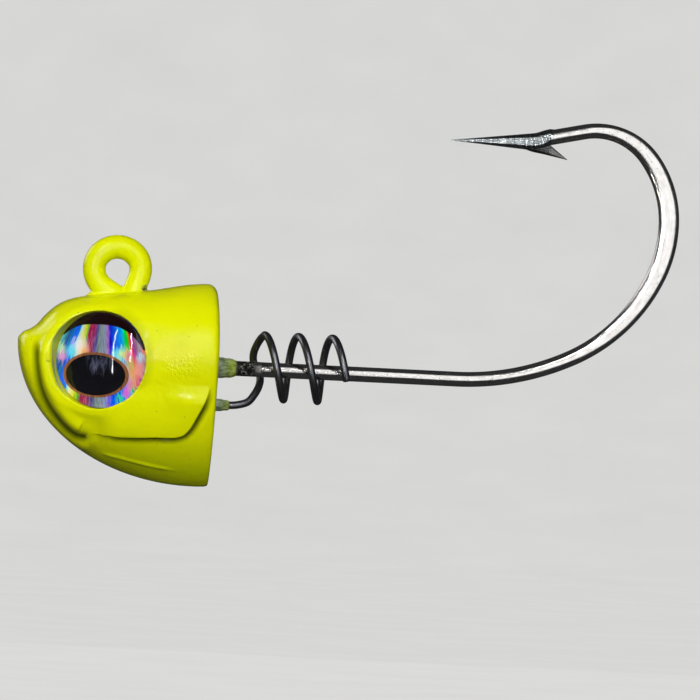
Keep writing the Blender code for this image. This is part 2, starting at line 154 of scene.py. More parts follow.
MOUTH = (
    (-8.15, -7.2), (-8.25, -8.4), (-8.2, -9.75), (-8.0, -11.15), (-7.5, -13.0),
    (-6.55, -14.8), (-5.4, -16.2), (-4.25, -17.25), (-3.45, -17.7), (-2.9, -17.78),
)
GILL = (
    (-0.35, -17.3), (1.7, -17.32), (4.3, -17.2), (6.75, -17.05), (7.35, -16.85),
    (7.85, -16.35), (8.8, -14.6), (9.55, -12.9), (9.85, -11.95),
)
CHINE = ((-1.1, -19.15), (1.0, -19.57), (3.1, -20.04), (5.2, -20.40), (7.6, -20.75))

# each feature's height, its distance inside its route or outside the eye, and its half width
MOUTH_GROOVE = (-0.33, 0.0, 0.42)
UPPER_LIP = (0.42, 1.05, 0.62)
LOWER_LIP = (0.12, -1.1, 0.5)
CHINE_RIDGE = (0.12, 0.0, 0.15)
SOCKET_RIM = (0.12, 0.75, 0.42)
SOCKET_DIP = (-0.12, 0.0, 1.1)
MOUTH_CORNER, CORNER_RADII, CORNER_DEPTH = (-1.4, -17.0), (0.8, 1.3), 0.16
PLATE_HEIGHT, PLATE_SLOPE = 0.60, 3.8
UNDERCUT_DEPTH, UNDERCUT_AT, UNDERCUT_WIDTHS = 0.33, -0.14, (0.50, 0.18)
HOLLOW_INWARD = 0.08


# ================ mesh helpers


def mesh_object(name, points, faces, attributes=None):
    """A smooth-shaded object from points in mm. attributes holds named vectors, one for each point."""
    mesh = bpy.data.meshes.new(name)
    mesh.from_pydata((np.asarray(points, float) * MM).tolist(), [], faces)
    for key, values in (attributes or {}).items():
        layer = mesh.attributes.new(key, "FLOAT_VECTOR", "POINT")
        layer.data.foreach_set("vector", np.asarray(values, np.float32).ravel())
    mesh.update()
    mesh.shade_smooth()
    obj = bpy.data.objects.new(name, mesh)
    bpy.context.scene.collection.objects.link(obj)
    return obj


def circle(sides, offset=0.0):
    """Cosines and sines of the turns to the given number of sides."""
    turn = 2 * math.pi * (np.arange(sides) + offset) / sides
    return np.cos(turn), np.sin(turn)


def squared(values, exponent):
    """Cosines or sines raised to a power, with their signs kept, for a squarer or a slimmer section."""
    return np.copysign(np.abs(values) ** exponent, values)


def grid_faces(rings, sides):
    """Quads between rings of equal size that close round."""
    faces = []
    for ring in range(rings - 1):
        low, high = ring * sides, (ring + 1) * sides
        for side in range(sides):
            follow = (side + 1) % sides
            faces.append((low + side, low + follow, high + follow, high + side))
    return faces


def capped_grid(rings, sides):
    """The same quads, with a face across each end."""
    faces = grid_faces(rings, sides)
    faces.append(tuple(range(sides))[::-1])
    faces.append(tuple(range((rings - 1) * sides, rings * sides)))
    return faces


def applied(obj, modifier_type, **settings):
    """Puts a modifier on the object and makes its result the object's mesh."""
    modifier = obj.modifiers.new(modifier_type.lower(), modifier_type)
    for key, value in settings.items():
        setattr(modifier, key, value)
    bpy.context.view_layer.update()
    graph = bpy.context.evaluated_depsgraph_get()
    made = bpy.data.meshes.new_from_object(obj.evaluated_get(graph))
    obj.modifiers.clear()
    obj.data = made


def combine(target, operation, others):
    """Joins or cuts closed meshes, which are used up."""
    for other in others:
        applied(target, "BOOLEAN", operation=operation, solver="MANIFOLD", object=other)
        bpy.data.objects.remove(other)
    return target


def hermite(knots, at):
    """The value at `at` on a smooth curve through (place, value) knots, with three-point slopes."""
    last = len(knots) - 1
    i = max(0, min(last - 1, sum(1 for place, _ in knots[1:-1] if place <= at)))

    def chord(k):
        (start, low), (end, high) = knots[k - 1], knots[k]
        return end - start, (high - low) / (end - start)

    def slope(k):
        if k in (0, last):
            return chord(max(k, 1))[1]
        (before, left), (after, right) = chord(k), chord(k + 1)
        return (left * after + right * before) / (before + after)

    (start, low), (end, high) = knots[i], knots[i + 1]
    span = end - start
    t = min(max((at - start) / span, 0.0), 1.0)
    return (
        (1 + 2 * t) * (1 - t) ** 2 * low
        + t * (1 - t) ** 2 * span * slope(i)
        + t * t * (3 - 2 * t) * high
        + t * t * (t - 1) * span * slope(i + 1)
    )


def through(points, step):
    """Points about `step` apart on a smooth curve through the given ones, in 2 or 3 dimensions."""
    points = np.array(points, float)
    reach = lengths_along(points)
    places = []
    for low, high in zip(reach, reach[1:]):
        count = max(1, round((high - low) / step))
        places += [low + (high - low) * i / count for i in range(count)]
    places.append(reach[-1])
    tracks = [list(zip(reach, column)) for column in points.T]
    return np.array([[hermite(track, place) for track in tracks] for place in places])


def smoothstep(low, high, value):
    share = np.clip((value - low) / (high - low), 0.0, 1.0)
    return share * share * (3 - 2 * share)


def lengths_along(path):
    steps = np.linalg.norm(np.diff(path, axis=0), axis=1)
    return np.concatenate([[0.0], np.cumsum(steps)])


def swept(name, path, section, sides):
    """A closed bar along a path in mm.

    section(i) gives the in-plane and across offsets of each side, as an array of (sides, 2).
    Each point keeps the length along the bar and its turn round it in the attribute `wire`.
    """
    path = np.asarray(path, float)
    reach = lengths_along(path)
    ahead = np.gradient(path, axis=0)
    ahead /= np.linalg.norm(ahead, axis=1)[:, None]
    across = np.array((0.0, 1.0, 0.0))
    turn = np.arange(sides) / sides
    points, wire = [], []
    for i, place in enumerate(path):
        across = across - ahead[i] * across.dot(ahead[i])
        across /= np.linalg.norm(across)
        within = np.cross(across, ahead[i])
        offsets = section(i)
        points.append(place + offsets[:, :1] * within + offsets[:, 1:2] * across)
        wire.append(np.stack([np.full(sides, reach[i]), turn, np.zeros(sides)], axis=1))
    faces = capped_grid(len(path), sides)
    return mesh_object(name, np.concatenate(points), faces, {"wire": np.concatenate(wire)})


def round_section(radius, sides):
    """A round section, of one radius or of one for each path point."""
    ring = np.stack(circle(sides, 0.5), axis=1)
    return lambda i: ring * (radius if np.isscalar(radius) else radius[i])


def turned(name, profile, sides, place=None):
    """A closed body of revolution about local Z, from (radius, height) pairs, with `local` coordinates."""
    points, faces, rings = [], [], []
    c, s = circle(sides)
    for radius, height in profile:
        if radius == 0:
            rings.append([len(points)] * sides)
            points.append((0.0, 0.0, height))
            continue
        rings.append([len(points) + side for side in range(sides)])
        points += [(radius * x, radius * y, height) for x, y in zip(c, s)]
    for ring, after in zip(rings, rings[1:]):
        for side in range(sides):
            follow = (side + 1) % sides
            corners = (ring[side], ring[follow], after[follow], after[side])
            faces.append(tuple(dict.fromkeys(corners)))
    local = np.array(points)
    placed = local
    if place is not None:
        spin = np.array(place.to_3x3())
        placed = local @ spin.T + np.array(place.translation)
    return mesh_object(name, placed, faces, {"local": local})


def read(items, key, width, kind=np.float64):
    """One value of `width` numbers for each item of a mesh."""
    values = np.empty(len(items) * width, kind)
    items.foreach_get(key, values)
    return values.reshape(-1, width)


def read_points(mesh):
    """Vertex positions in mm."""
    return read(mesh.vertices, "co", 3) / MM


def write_points(mesh, points):
    mesh.vertices.foreach_set("co", (points * MM).astype(np.float32).ravel())
    mesh.update()


def relax(mesh, rounds, strength=0.5, inflate=0.53):
    """Evens out a surface by moving points towards their neighbours and back, so it keeps its size."""
    points = read_points(mesh)
    first, second = read(mesh.edges, "vertices", 2, np.int64).T
    count = np.bincount(first, minlength=len(points)) + np.bincount(second, minlength=len(points))
    for step in (strength, -inflate) * rounds:
        total = np.empty_like(points)
        for axis in range(3):
            values = points[:, axis]
            total[:, axis] = np.bincount(first, values[second], len(points))
            total[:, axis] += np.bincount(second, values[first], len(points))
        points = points + step * (total / count[:, None] - points)
    write_points(mesh, points)


# ================ the hook's line


class Bender:
    """Lays out a wire in the plane Y = 0 as straight runs and arcs, and keeps each point's heading."""

    def __init__(self, x, z, heading):
        self.points = [np.array((x, 0.0, z))]
        self.heading = math.radians(heading)
        self.headings = [self.heading]

    def advance(self, start, heading, length):
        ahead = np.array((math.cos(heading), 0.0, math.sin(heading)))
        self.points.append(start + ahead * length)
        self.headings.append(self.heading)

    def straight(self, length):
        start = self.points[-1]
        steps = max(1, round(abs(length) / WIRE_STEP))
        for step in range(1, steps + 1):
            self.advance(start, self.heading, length * step / steps)

    def bend(self, radius, degrees):
        steps = max(2, round(radius * math.radians(abs(degrees)) / WIRE_STEP))
        turn = math.radians(degrees) / steps
        chord = 2 * radius * math.sin(abs(turn) / 2)
        for _ in range(steps):
            middle = self.heading + turn / 2
            self.heading += turn
            self.advance(self.points[-1], middle, chord)


def eyelet_wire():
    tangent = math.radians(TAIL_HEADING)
    c, s = math.cos(tangent), math.sin(tangent)
    wire = Bender(-EYELET_RADIUS * s - EYELET_TAIL * c, EYELET_RADIUS * c - EYELET_TAIL * s, TAIL_HEADING)
    wire.straight(EYELET_TAIL)
    wire.bend(EYELET_RADIUS, NECK_HEADING - 360 - TAIL_HEADING)
    wire.straight(NECK_STRAIGHT)
    wire.bend(NECK_BEND_RADIUS, 270 - NECK_HEADING)
    wire.straight(wire.points[-1][2] - SHANK_Z - HEEL_RADIUS)
    wire.bend(HEEL_RADIUS, 90)
    return wire


def hook_wire():
    """The hook's centreline, each point's share of the bend, and the index where the ground point starts."""
    wire = eyelet_wire()
    wire.straight(SHANK_END_X - wire.points[-1][0])
    straight_heading = wire.heading
    for radius, degrees in HOOK_BENDS:
        wire.bend(radius, degrees)
    whole_turn = wire.heading - straight_heading
    bend_end = len(wire.points)
    wire.straight(LIMB)
    point_start = len(wire.points) - 1
    wire.straight(POINT_NECK)
    wire.bend(*POINT_BEND)
    wire.straight(POINT_LENGTH)
    shares = np.clip((np.array(wire.headings) - straight_heading) / whole_turn, 0.0, 1.0)
    shares[bend_end:] = 1.0
    shares[: len(eyelet_wire().points)] = 0.0
    return np.array(wire.points), shares, point_start


# ================ the head


def head_section(x):
    """Half width, top, bottom, widest level and the two powers of the head's section at x."""
    along = min(max((x - NOSE_X) / (REAR_X - NOSE_X), 0.0), 1.0)
    top = hermite(BACK_LINE, x)
    belly = min(abs(x - BELLY_CENTRE_X) / BELLY_LENGTH, 1.0)
    bottom = NOSE_Z - BELLY_DEPTH * math.sqrt(1 - belly**2)
    plan = min(abs(PLAN_CENTRE_X - x) / PLAN_LENGTH, 1.0)
    half_width = PLAN_HALF_WIDTH * (1 - plan**PLAN_POWER) ** (1 / PLAN_POWER)

    def blend(ends):
        return ends[0] + (ends[1] - ends[0]) * along

    widest = top - (top - bottom) * blend(WIDEST_AT)
    return half_width, top, bottom, widest, blend(UPPER_POWER), blend(LOWER_POWER)


def head_body(name, inset, stations, sides):
    """The head's closed outer form, `inset` inside the coat's surface."""
    front, rear = NOSE_X + inset, REAR_X - inset
    first_ring = front + NOSE_RING
    last_ring = rear - REAR_FILLET[0] - REAR_RING
    c, s = circle(sides)
    places = []
    for i in range(stations):
        swing = STATION_SWING * i / (stations - 1)
        share = (1 - math.cos(swing)) / (1 - math.cos(STATION_SWING))
        x = first_ring + (last_ring - first_ring) * share
        places.append((x, x, 0.0))
    fillet = REAR_FILLET[1] + (REAR_FILLET[0] - REAR_FILLET[1]) * (s + 1) / 2
    for degrees in range(0, 91, 10):
        tilt = math.radians(degrees)
        places.append((rear, rear - fillet * (1 - math.sin(tilt)), fillet * (1 - math.cos(tilt))))
    points = []
    for station, x, shrink in places:
        half_width, top, bottom, widest, upper, lower = head_section(station)
        power = np.where(s >= 0, upper, lower)
        reach = np.where(s >= 0, top - widest, widest - bottom) - inset - shrink
        wide = half_width - inset - shrink
        z = widest + reach * squared(s, 2 / power)
        points.append(np.stack([np.full(sides, x), wide * squared(c, 2 / power), z], axis=1))
    points = np.concatenate(points + [np.array([(front, 0.0, NOSE_Z - NOSE_DROP)])])
    faces = grid_faces(len(places), sides)
    nose = len(points) - 1
    for side in range(sides):
        faces.append((nose, (side + 1) % sides, side))
    last = (len(places) - 1) * sides
    faces.append(tuple(range(last, last + sides)))
    return mesh_object(name, points, faces)


def route_distance(route, x, z):
    """Distance of each (x, z) from a route, positive on its left, and the share along the route."""
    line = through(route, ROUTE_STEP)
    reach = lengths_along(line)
    best = np.full(len(x), np.inf)
    side, share = np.zeros((2, len(x)))
    for i in range(len(line) - 1):
        (ax, az), (bx, bz) = line[i], line[i + 1]
        dx, dz = bx - ax, bz - az
        span = dx * dx + dz * dz
        t = np.clip(((x - ax) * dx + (z - az) * dz) / span, 0.0, 1.0)
        gap = np.hypot(x - ax - t * dx, z - az - t * dz)
        nearer = gap < best
        best = np.where(nearer, gap, best)
        turn = dx * (z - az) - dz * (x - ax)
        side = np.where(nearer, np.sign(turn), side)
        share = np.where(nearer, (reach[i] + t * (reach[i + 1] - reach[i])) / reach[-1], share)
    return np.where(side > 0, best, -best), share


def swell(distance, height, centre, half_width):
    """A rounded ridge at a distance from its route, or a groove where the height is negative."""
    return height * np.exp(-(((distance - centre) / half_width) ** 2))


def relief(points, normals):
    """How far the face's modelling stands out (or in) at each surface point, in mm."""
    x, z = points[:, 0], points[:, 2]

    inner, share = route_distance(MOUTH, x, z)
    fade = smoothstep(0.0, 0.16, share)
    lip = fade * (1 - 0.75 * smoothstep(0.9, 1.0, share))
    height = fade * (swell(inner, *MOUTH_GROOVE) + swell(inner, *LOWER_LIP)) + lip * swell(inner, *UPPER_LIP)
    ahead, above = x - MOUTH_CORNER[0], z - MOUTH_CORNER[1]
    height -= CORNER_DEPTH * np.exp(-((ahead / CORNER_RADII[0]) ** 2) - (above / CORNER_RADII[1]) ** 2)

    inner, _ = route_distance(GILL, x, z)
    ends = smoothstep(-2.4, 0.9, x) * (1 - smoothstep(-13.6, -11.6, z))
    plate = smoothstep(-0.05, 0.16, inner) * np.exp(-((np.clip(inner, 0, None) / PLATE_SLOPE) ** 2))
    height += PLATE_HEIGHT * ends * plate
    ends = smoothstep(-0.5, 0.6, x) * (1 - smoothstep(-14.5, -11.6, z))
    half_width = np.where(inner < UNDERCUT_AT, *UNDERCUT_WIDTHS)
    height -= ends * swell(inner, UNDERCUT_DEPTH, UNDERCUT_AT, half_width)

    inner, share = route_distance(CHINE, x, z)
    height += smoothstep(0.0, 0.15, share) * (1 - smoothstep(0.7, 1.0, share)) * swell(inner, *CHINE_RIDGE)

    reach = eye_distance(points) - EYE_RADIUS
    rearward = smoothstep(-2.5, 2.5, x - EYE_PLACE[0])
    height += (1 - rearward) * swell(reach, *SOCKET_RIM) + rearward * swell(reach, *SOCKET_DIP)
    on_flank = smoothstep(0.15, 0.45, np.abs(normals[:, 1]))
    return height * on_flank * (x < REAR_X - 0.25)


def eye_distance(points):
    """Distance of each point from the axis of the eye on its own side."""
    turn = math.radians(EYE_TURN)
    ahead = points[:, 0] - EYE_PLACE[0]
    outward = np.abs(points[:, 1]) - EYE_PLACE[1]
    return np.hypot(ahead * math.cos(turn) + outward * math.sin(turn), points[:, 2] - EYE_PLACE[2])


def eye_matrix(side):
    """Places an eye: local Z looks out of the head, side is -1 on the left flank and 1 on the right."""
    turn = math.radians(EYE_TURN)
    out = Vector((-math.sin(turn), side * math.cos(turn), 0))
    up = Vector((0, 0, 1))
    along = up.cross(out)
    place = Vector((EYE_PLACE[0], side * EYE_PLACE[1], EYE_PLACE[2]))
    rotation = Matrix((along, up, out)).transposed().to_4x4()
    return Matrix.Translation(place) @ rotation


def socket_plug(side, extra):
    """The eye socket's shape: a snug seat, a small ledge, then a slightly wider mouth."""
    seat = EYE_RADIUS + SOCKET_CLEARANCE + extra
    floor = -SOCKET_DEPTH - extra
    ledge = [(seat + wider, height) for wider, height in SOCKET_LEDGE]
    profile = [(0, floor), (seat, floor), *ledge, (0, ledge[-1][1])]
    return turned("socket", profile, PLUG_SIDES, eye_matrix(side))


def blob(centre, radii):
    """A rounded drop of coat."""
    profile = [(0, -1.0)]
    for i in range(BLOB_RINGS - 1, 0, -1):
        tilt = math.pi * i / BLOB_RINGS
        profile.append((math.sin(tilt), math.cos(tilt)))
    stretch = Matrix.Diagonal((*radii, 1.0))
    return turned("blob", profile + [(0, 1.0)], 2 * BLOB_RINGS, Matrix.Translation(centre) @ stretch)


def collar(name, z, length, radii):
    """A tapered stub of coat on a wire, its end rounded and uneven."""
    path = through(((REAR_X - ROOT, 0, z), (REAR_X, 0, z), (REAR_X + length, 0, z)), LEAD_STEP)
    share = np.clip((path[:, 0] - REAR_X) / length, 0, 1)
    radius = radii[0] + (radii[1] - radii[0]) * share
    ripple = 0.03 * np.sin(path[:, 0] * 7.3) + 0.02 * np.sin(path[:, 0] * 13.1 + 1.0)
    radius = radius + ripple * (share > 0)
    rounding = np.clip((share - COLLAR_ROUND_FROM) / (1 - COLLAR_ROUND_FROM), 0, 1)
    radius *= COLLAR_END + (1 - COLLAR_END) * np.sqrt(np.clip(1 - rounding**2, 0, 1))
    return swept(name, path, round_section(radius, COLLAR_SIDES), COLLAR_SIDES)


def wire_bars(extra):
    """The hook's and the keeper's cast-in lengths, thicker by `extra`, running out past the stubs."""
    wire = eyelet_wire()
    wire.straight(REAR_X + COLLAR_LENGTH + ROOT - wire.points[-1][0])
    hook_bar = swept("wire", wire.points, round_section(WIRE_RADIUS + extra, 24), 24)
    tail = [point for point in keeper_path() if point[0] < TAIL_BAR_END_X and point[2] < TAIL_Z + 0.25]
    tail_bar = swept("tail", tail, round_section(KEEPER_RADIUS + extra, 16), 16)
    return [hook_bar, tail_bar]


def make_sleeve():
    """The coat over the eyelet and neck, thickest on top of the ring."""
    wire = np.array([point for point in eyelet_wire().points if point[2] > SLEEVE_END_Z])
    above = smoothstep(0.0, EYELET_RADIUS, wire[:, 2])
    wire[:, 2] -= SLEEVE_SAG * above
    for axis, shift in zip((0, 2), SLEEVE_SHIFT):
        wire[:, axis] += shift * smoothstep(*SLEEVE_SHIFT_Z, wire[:, 2])
    radius = SLEEVE_RADIUS + 0.5 * SLEEVE_SAG * above
    return swept("sleeve", wire, round_section(radius, COLLAR_SIDES), COLLAR_SIDES)


def make_paint_coat():
    """The coat as one closed skin: its outer form with sockets and relief, less the lead and the wires."""
    coat = head_body("paint_coat_fine", 0.0, HEAD_STATIONS, HEAD_SIDES)
    parts = [
        make_sleeve(),
        collar("shank_stub", SHANK_Z, COLLAR_LENGTH, COLLAR_RADII),
        collar("tail_stub", TAIL_Z, TAIL_COLLAR_LENGTH, TAIL_COLLAR_RADII),
        *(blob(centre, radii) for centre, radii in COAT_DROPS),
    ]
    join(coat, parts)
    applied(coat, "REMESH", mode="VOXEL", voxel_size=COAT_VOXEL * MM)
    relax(coat.data, 4)
    combine(coat, "DIFFERENCE", [socket_plug(side, 0.0) for side in (-1, 1)])
    applied(coat, "REMESH", mode="VOXEL", voxel_size=COAT_VOXEL * MM)
    relax(coat.data, 6)
    shape_face(coat, store=True)

    hollow = head_body("hollow", COAT, 90, 140)
    shape_face(hollow, inward=HOLLOW_INWARD)
    combine(hollow, "DIFFERENCE", [socket_plug(side, COAT) for side in (-1, 1)])
    combine(hollow, "UNION", wire_bars(GAP))
    combine(coat, "DIFFERENCE", [hollow])
    coat.data.shade_smooth()
    return coat


def shape_face(obj, store=False, inward=None):
    """Pushes the surface out and in by the face's relief, and may keep the relief as an attribute.

    With `inward`, only the hollows are followed, and the whole surface moves in by that much.
    """
    points = read_points(obj.data)
    normals = read(obj.data.vertex_normals, "vector", 3)
    height = relief(points, normals)
    if inward is not None:
        height = np.minimum(height, 0.0) - inward
    write_points(obj.data, points + normals * height[:, None])
    if store:
        layer = obj.data.attributes.new("relief", "FLOAT", "POINT")
        layer.data.foreach_set("value", height.astype(np.float32))


def join(target, others):
    """Merges meshes into one object without any cutting."""
    points, faces = [], []
    for obj in (target, *others):
        offset = sum(len(part) for part in points)
        points.append(read_points(obj.data))
        faces += [tuple(v + offset for v in polygon.vertices) for polygon in obj.data.polygons]
    mesh = bpy.data.meshes.new(target.name)
    mesh.from_pydata((np.concatenate(points) * MM).tolist(), [], faces)
    target.data = mesh
    for other in others:
        bpy.data.objects.remove(other)


# ================ hook and keeper


def polygon_section(corners, sides):
    """Points spread along a closed polygon, the same number on each of its edges."""
    each = sides // len(corners)
    corners = np.array(corners, float)
    after = np.roll(corners, -1, axis=0)
    share = np.arange(each)[:, None] / each
    return np.concatenate([a + (b - a) * share for a, b in zip(corners, after)])


def make_hook():
    path, shares, point_start = hook_wire()
    reach = lengths_along(path)
    from_tip = reach[-1] - reach
    droop = np.minimum(from_tip / POINT_LENGTH, 1) * smoothstep(0, 2.0, reach - reach[point_start])
    path[:, 2] -= POINT_DROP * droop
    c, s = circle(WIRE_SIDES)
    ground = polygon_section(GROUND_SECTION, WIRE_SIDES)

    def section(i):
        flat = math.sin(math.pi * shares[i]) ** 2
        within = WIRE_RADIUS + flat * (FORGED_IN_PLANE - WIRE_RADIUS)
        beside = WIRE_RADIUS + flat * (FORGED_ACROSS - WIRE_RADIUS)
        exponent = 2 / (2.0 + FORGED_SQUARENESS * flat)
        round_wire = np.stack([within * squared(c, exponent), beside * squared(s, exponent)], axis=1)
        if i <= point_start - 4:
            return round_wire
        share = min(from_tip[i] / POINT_LENGTH, 1.0)
        size = POINT_TIP + (POINT_WIDEST - POINT_TIP) * share
        deep = POINT_TIP + (POINT_ACROSS - POINT_TIP) * share
        point = ground * np.array((size, deep))
        start = reach[point_start] + GRIND_START - GRIND_SLANT * ground[:, 0]
        change = smoothstep(-GRIND_BLEND, GRIND_BLEND, reach[i] - start)[:, None]
        return round_wire * (1 - change) + point * change

    hook = swept("hook_fine", path, section, WIRE_SIDES)
    return combine(hook, "UNION", [make_barb()])


def make_barb():
    """A blade split from the wire's underside: flat on top, rounded below, its tip back towards the bend."""
    stations, sides = 25, 24
    top, underside = (spaced(through(line, 0.05), stations) for line in (BARB_TOP, BARB_UNDERSIDE))
    c, s = circle(sides)
    rises = squared(s, 2 / np.where(s > 0, 5.0, 2.0))[:, None]
    points = []
    for i in range(stations):
        width = BARB_HALF_WIDTH[0] + (BARB_HALF_WIDTH[1] - BARB_HALF_WIDTH[0]) * i / (stations - 1)
        middle, half = (top[i] + underside[i]) / 2, (top[i] - underside[i]) / 2
        place = middle + half * rises
        points.append(np.stack([place[:, 0], width * squared(c, 0.6), place[:, 1]], axis=1))
    points = np.concatenate(points)
    wire = np.stack([points[:, 0], points[:, 2], np.ones(len(points))], axis=1)
    return mesh_object("barb", points, capped_grid(stations, sides), {"wire": wire})


def spaced(line, count):
    """The given number of points, evenly spaced along a line."""
    reach = lengths_along(line)
    places = np.linspace(0, reach[-1], count)
    return np.stack([np.interp(places, reach, column) for column in line.T], axis=1)


def keeper_path():
    """The keeper's wire from its anchor hook in the lead to the coil's free end."""
    top = (COIL_START_X, 0.0, COIL_AXIS_Z + COIL_RADIUS)
    lead = through((*KEEPER_LEAD, top), LEAD_STEP)
    steps = round(COIL_TURNS * COIL_STEPS)
    turns = COIL_TURNS * np.arange(steps + 1) / steps
    angle = 2 * math.pi * turns
    along = COIL_START_X + COIL_PITCH * turns + COIL_LEAN * (1 - np.cos(angle)) / 2
    coil = np.stack([along, -COIL_RADIUS * np.sin(angle), COIL_AXIS_Z + COIL_RADIUS * np.cos(angle)], axis=1)
    return np.concatenate([lead[:-1], coil])


def make_keeper():
    path = keeper_path()
    return swept("keeper_fine", path, round_section(KEEPER_RADIUS, KEEPER_SIDES), KEEPER_SIDES)


# ================ eyes


def make_foil(side, flank):
    """The printed film: a thin flat disc."""
    profile = [(0, 0.0), (EYE_RADIUS, 0.0)]
    profile += [(radius, FOIL_THICKNESS) for radius in np.linspace(EYE_RADIUS, 0, FOIL_RINGS + 1)]
    return turned(f"foil_{flank}", profile, EYE_SIDES, eye_matrix(side))


def make_dome(side, flank):
    """The clear lens: a straight edge, then a cap cut from a ball. Close rings keep its base shaded flat."""
    base = FOIL_THICKNESS + LAYER_GAP
    top = base + DOME_EDGE + DOME_RISE
    profile = [(0, base)]
    profile += [(EYE_RADIUS - inset, base) for inset in DOME_BASE_INSETS]
    profile += [(EYE_RADIUS, base + DOME_CHAMFER), (EYE_RADIUS, base + DOME_CHAMFER + 0.02)]
    ball = (EYE_RADIUS**2 + DOME_RISE**2) / (2 * DOME_RISE)
    for tilt in np.linspace(math.asin(EYE_RADIUS / ball), 0, DOME_RINGS + 1):
        profile.append((ball * math.sin(tilt), top - ball * (1 - math.cos(tilt))))
    return turned(f"dome_{flank}", profile, EYE_SIDES, eye_matrix(side))


# ================ materials


class Finish:
    """One material: a Principled shader and the nodes that feed it."""

    def __init__(self, name, **fixed):
        self.material = bpy.data.materials.new(name)
        self.material.use_nodes = True
        self.tree = self.material.node_tree
        self.shader = self.tree.nodes["Principled BSDF"]
        for key, value in fixed.items():
            self.shader.inputs[key.replace("_", " ")].default_value = value

    def feed(self, socket, value):
        if isinstance(value, bpy.types.NodeSocket):
            self.tree.links.new(value, socket)
        else:
            socket.default_value = value

    def set(self, key, value):
        self.feed(self.shader.inputs[key], value)

    def node(self, kind, *values, **settings):
        """Adds a node and feeds its first inputs in turn."""
        made = self.tree.nodes.new(kind)
        for key, value in settings.items():
            setattr(made, key, value)
        for socket, value in zip(made.inputs, values):
            self.feed(socket, value)
        return made

    def named(self, kind, **inputs):
        """Adds a node, feeds its inputs by name and gives its first output."""
        made = self.node(kind)
        for key, value in inputs.items():
            self.feed(made.inputs[key], value)
        return made.outputs[0]

    def math(self, operation, *values):
        return self.node("ShaderNodeMath", *values, operation=operation).outputs[0]

    def plus(self, a, b):
        return self.math("ADD", a, b)

    def minus(self, a, b):
        return self.math("SUBTRACT", a, b)

    def times(self, a, b):
        return self.math("MULTIPLY", a, b)

    def vivid(self, colour, saturation, value):
        return self.named("ShaderNodeHueSaturation", Saturation=saturation, Value=value, Color=colour)

    def attribute(self, name):
        return self.node("ShaderNodeAttribute", attribute_name=name)

    def place(self):
        """Position in the row frame, in mm."""
        metres = self.node("ShaderNodeTexCoord").outputs["Object"]
        return self.node("ShaderNodeVectorMath", metres, (1 / MM,) * 3, operation="MULTIPLY").outputs[0]

    def split(self, vector):
        return self.node("ShaderNodeSeparateXYZ", vector).outputs

    def joined(self, x, y, z):
        return self.node("ShaderNodeCombineXYZ", x, y, z).outputs[0]

    def stretched(self, *parts, depth=0.0):
        """A vector from (value, factor) pairs. Where there are two, `depth` is its third part."""
        values = [self.times(value, factor) for value, factor in parts]
        return self.joined(*(values + [depth])[:3])

    def noise(self, vector, scale, detail=2.0, roughness=0.5):
        settings = {"Scale": scale, "Detail": detail, "Roughness": roughness}
        return self.named("ShaderNodeTexNoise", Vector=vector, **settings)

    def cells(self, vector, scale):
        """Distance from the nearest of scattered points."""
        return self.named("ShaderNodeTexVoronoi", Vector=vector, Scale=scale)

    def ramp(self, value, low, high, start=0.0, end=1.0):
        return self.node("ShaderNodeMapRange", value, low, high, start, end).outputs[0]

    def colours(self, value, stops):
        """A colour ramp from (position, colour) stops."""
        made = self.node("ShaderNodeValToRGB", value)
        elements = made.color_ramp.elements
        elements[0].position, elements[1].position = stops[0][0], stops[-1][0]
        elements[0].color, elements[1].color = (*stops[0][1], 1.0), (*stops[-1][1], 1.0)
        for position, colour in stops[1:-1]:
            elements.new(position).color = (*colour, 1.0)
        return made.outputs[0]

    def mix(self, share, a, b):
        made = self.node("ShaderNodeMix", data_type="RGBA")
        self.feed(made.inputs[0], share)
        for socket, value in ((made.inputs[6], a), (made.inputs[7], b)):
            self.feed(socket, (*value, 1.0) if isinstance(value, tuple) else value)
        return made.outputs[2]

    def bump(self, height, distance, below=None):
        """A surface bump whose full height is `distance` mm, on top of another one."""
        inputs = {} if below is None else {"Normal": below}
        return self.named("ShaderNodeBump", Height=height, Distance=distance * MM, **inputs)

    def ball(self, place, centre, radius, core=0.6):
        """1 in the core of a soft ball round a point in mm, 0 outside it."""
        away = self.node("ShaderNodeVectorMath", place, centre, operation="DISTANCE").outputs["Value"]
        return self.ramp(away, radius, radius * core)


DUSTY_POWDER = ((0.35, (0.13, 0.20, 0.07)), (0.5, (0.34, 0.42, 0.30)), (0.65, (0.55, 0.62, 0.55)))
GREEN_POWDER = ((0.35, (0.16, 0.24, 0.01)), (0.5, (0.42, 0.56, 0.05)), (0.65, (0.62, 0.72, 0.28)))
POWDER_TURNS_DUSTY = (REAR_X + 1.4, REAR_X + 2.6)
KEEL_SHADE_Z = (-17.2, -20.5)
CHIPS = (((2.95, -0.75, -1.95), 0.5), ((10.3, 0.0, -21.9), 0.45))
ROUGH_CHEEK, ROUGH_CHEEK_RADIUS = (6.4, 0.0, -8.9), 2.7


